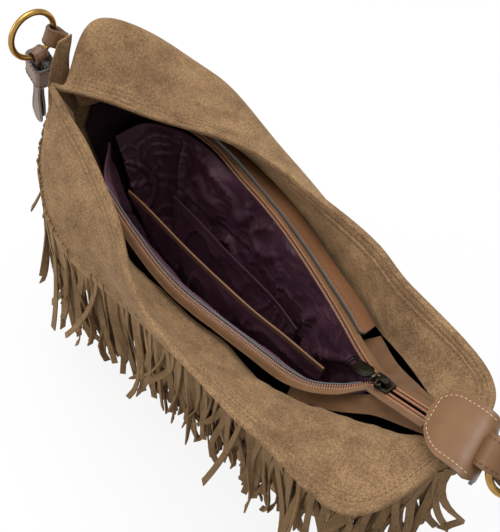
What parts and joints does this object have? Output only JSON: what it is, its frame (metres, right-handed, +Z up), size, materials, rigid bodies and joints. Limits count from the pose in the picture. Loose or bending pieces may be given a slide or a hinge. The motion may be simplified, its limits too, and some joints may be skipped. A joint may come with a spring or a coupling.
{
  "type": "fringed suede shoulder bag",
  "caption": "Soft crescent suede shoulder bag with a deep strand fringe, an open mouth, a zipped centre compartment, a half-moon end tab, metal rings and a leather strap",
  "frame": {"origin": "the middle of the flat base, where the bag stands", "axes": "+X runs along the bag to the end with the half-moon tab, -Y is the fringed front, +Z is up"},
  "size_m": [0.4724, 0.2132, 0.286],
  "materials": {
    "suede": "napped suede",
    "suede_inner": "napped suede",
    "satin_lining": "satin",
    "leather": "smooth, low sheen",
    "zip_twill": "woven twill",
    "zip_coil": "nylon coil",
    "gold_metal": "polished",
    "dark_metal": "dark plated",
    "painted_edge": "edge paint on leather"
  },
  "bodies": {
    "bag": {"front_lower_panel": "suede", "front_yoke": "suede", "back_panel": "suede", "base_panel": "suede", "fringe_inner_row": "suede", "fringe_outer_row": "suede", "left_end_arm": "suede", "front_facing": "suede_inner", "back_facing": "suede_inner", "front_lining": "satin_lining", "back_lining": "satin_lining", "centre_front_divider": "satin_lining", "centre_back_divider": "satin_lining", "centre_bottom": "satin_lining", "slip_pocket": "satin_lining", "back_patch_pocket": "satin_lining", "slip_pocket_binding": "leather", "back_leather_strip": "leather", "end_tab": "leather", "right_ring_loop": "leather", "left_ring_loop": "leather", "strap_right_end": "leather", "strap_left_end": "leather", "shoulder_strap": "leather", "zip_tape_front": "zip_twill", "zip_tape_back": "zip_twill", "gusset_back": "zip_twill", "gusset_front": "zip_twill", "zip_teeth_front": "zip_coil", "zip_teeth_back": "zip_coil", "zip_end_stop": "dark_metal", "front_leather_trim": "painted_edge"},
    "slider": {"zip_slider": "dark_metal"},
    "connector": {"zip_connector_ring": "dark_metal"},
    "pull": {"zip_pull": "dark_metal"},
    "left_ring": {"left_ring": "gold_metal"},
    "right_ring": {"right_ring": "gold_metal"},
    "keeper": {"strap_keeper": "leather"}
  },
  "joints": [
    {"name": "slider_slide", "type": "slide", "parent": "bag", "child": "slider", "axis": [0.8327, -0.1303, 0.5381], "range_m": [0, 0.024]},
    {"name": "connector_swing", "type": "hinge", "parent": "slider", "child": "connector", "pos_m": [0.11187, 0.00108, 0.2059], "axis": [0.1546, 0.988, 0], "range_deg": [0, 110]},
    {"name": "pull_swing", "type": "hinge", "parent": "connector", "child": "pull", "pos_m": [0.10488, 0.00218, 0.20138], "axis": [0.1546, 0.988, 0], "range_deg": [0, 65]},
    {"name": "left_ring_turn", "type": "hinge", "parent": "bag", "child": "left_ring", "pos_m": [-0.188, -0.0045, 0.268], "axis": [1, 0, 0], "continuous": true},
    {"name": "right_ring_turn", "type": "hinge", "parent": "bag", "child": "right_ring", "pos_m": [0.194, 0.0004, 0.2364], "axis": [0.7641, -0.204, 0.612], "continuous": true},
    {"name": "keeper_slide", "type": "slide", "parent": "bag", "child": "keeper", "axis": [-0.2951, -0.2601, -0.9194], "range_m": [0, 0.003]}
  ]
}
